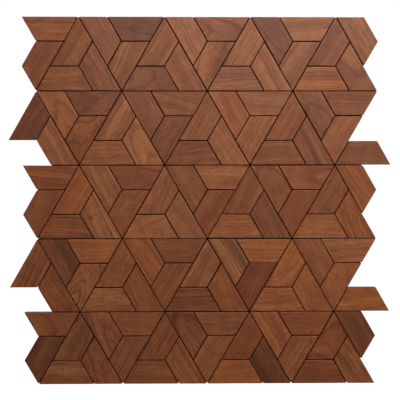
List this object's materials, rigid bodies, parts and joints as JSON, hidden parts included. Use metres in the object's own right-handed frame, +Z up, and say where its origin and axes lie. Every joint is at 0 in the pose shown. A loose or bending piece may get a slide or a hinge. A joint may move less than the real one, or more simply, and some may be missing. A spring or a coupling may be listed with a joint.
{
  "type": "wood mosaic wall panel",
  "caption": "Interlocking mosaic sheet of trapezoid wood tiles set in triangle pinwheels on a thin black board, with notched ends that mesh with the next sheet, for facing a wall.",
  "frame": {"origin": "middle of the board's flat back face, halfway across the sheet's width and height: the plane glued to the wall", "axes": "+Z up and +X to the right as seen from the front; the tiles face -Y and +Y points into the wall"},
  "size_m": [0.3362, 0.008, 0.324],
  "materials": {
    "tile_wood": "smooth sanded hardwood with a thin satin oil finish, reddish brown, its tone and figure different on every tile",
    "backing_black": "matt black dyed fibreboard"
  },
  "bodies": {
    "root": {"board_with_inner_tiles": "tile_wood", "tile_row1_down1_right": "tile_wood", "tile_row1_down1_top": "tile_wood", "tile_row1_down2_left": "tile_wood", "tile_row1_down2_right": "tile_wood", "tile_row1_down2_top": "tile_wood", "tile_row1_down3_left": "tile_wood", "tile_row1_down3_right": "tile_wood", "tile_row1_down3_top": "tile_wood", "tile_row1_down4_left": "tile_wood", "tile_row1_down4_right": "tile_wood", "tile_row1_down4_top": "tile_wood", "tile_row1_down5_left": "tile_wood", "tile_row1_up1_base": "tile_wood", "tile_row1_up1_left": "tile_wood", "tile_row1_up1_right": "tile_wood", "tile_row1_up2_left": "tile_wood", "tile_row1_up3_left": "tile_wood", "tile_row1_up3_right": "tile_wood", "tile_row1_up4_base": "tile_wood", "tile_row1_up4_left": "tile_wood", "tile_row1_up4_right": "tile_wood", "tile_row2_down1_left": "tile_wood", "tile_row2_down1_top": "tile_wood", "tile_row2_down4_right": "tile_wood", "tile_row2_down4_top": "tile_wood", "tile_row2_up1_left": "tile_wood", "tile_row2_up1_right": "tile_wood", "tile_row2_up5_base": "tile_wood", "tile_row3_down1_right": "tile_wood", "tile_row3_down1_top": "tile_wood", "tile_row3_down5_left": "tile_wood", "tile_row3_up4_right": "tile_wood", "tile_row4_down1_left": "tile_wood", "tile_row4_down4_right": "tile_wood", "tile_row4_down4_top": "tile_wood", "tile_row4_up1_left": "tile_wood", "tile_row4_up1_right": "tile_wood", "tile_row4_up5_base": "tile_wood", "tile_row5_down1_right": "tile_wood", "tile_row5_down1_top": "tile_wood", "tile_row5_down2_left": "tile_wood", "tile_row5_down2_right": "tile_wood", "tile_row5_down3_right": "tile_wood", "tile_row5_down4_left": "tile_wood", "tile_row5_down4_right": "tile_wood", "tile_row5_down4_top": "tile_wood", "tile_row5_down5_left": "tile_wood", "tile_row5_up1_base": "tile_wood", "tile_row5_up1_left": "tile_wood", "tile_row5_up1_right": "tile_wood", "tile_row5_up2_base": "tile_wood", "tile_row5_up2_left": "tile_wood", "tile_row5_up2_right": "tile_wood", "tile_row5_up3_base": "tile_wood", "tile_row5_up3_left": "tile_wood", "tile_row5_up3_right": "tile_wood", "tile_row5_up4_base": "tile_wood", "tile_row5_up4_left": "tile_wood", "tile_row5_up4_right": "tile_wood"}
  },
  "joints": []
}
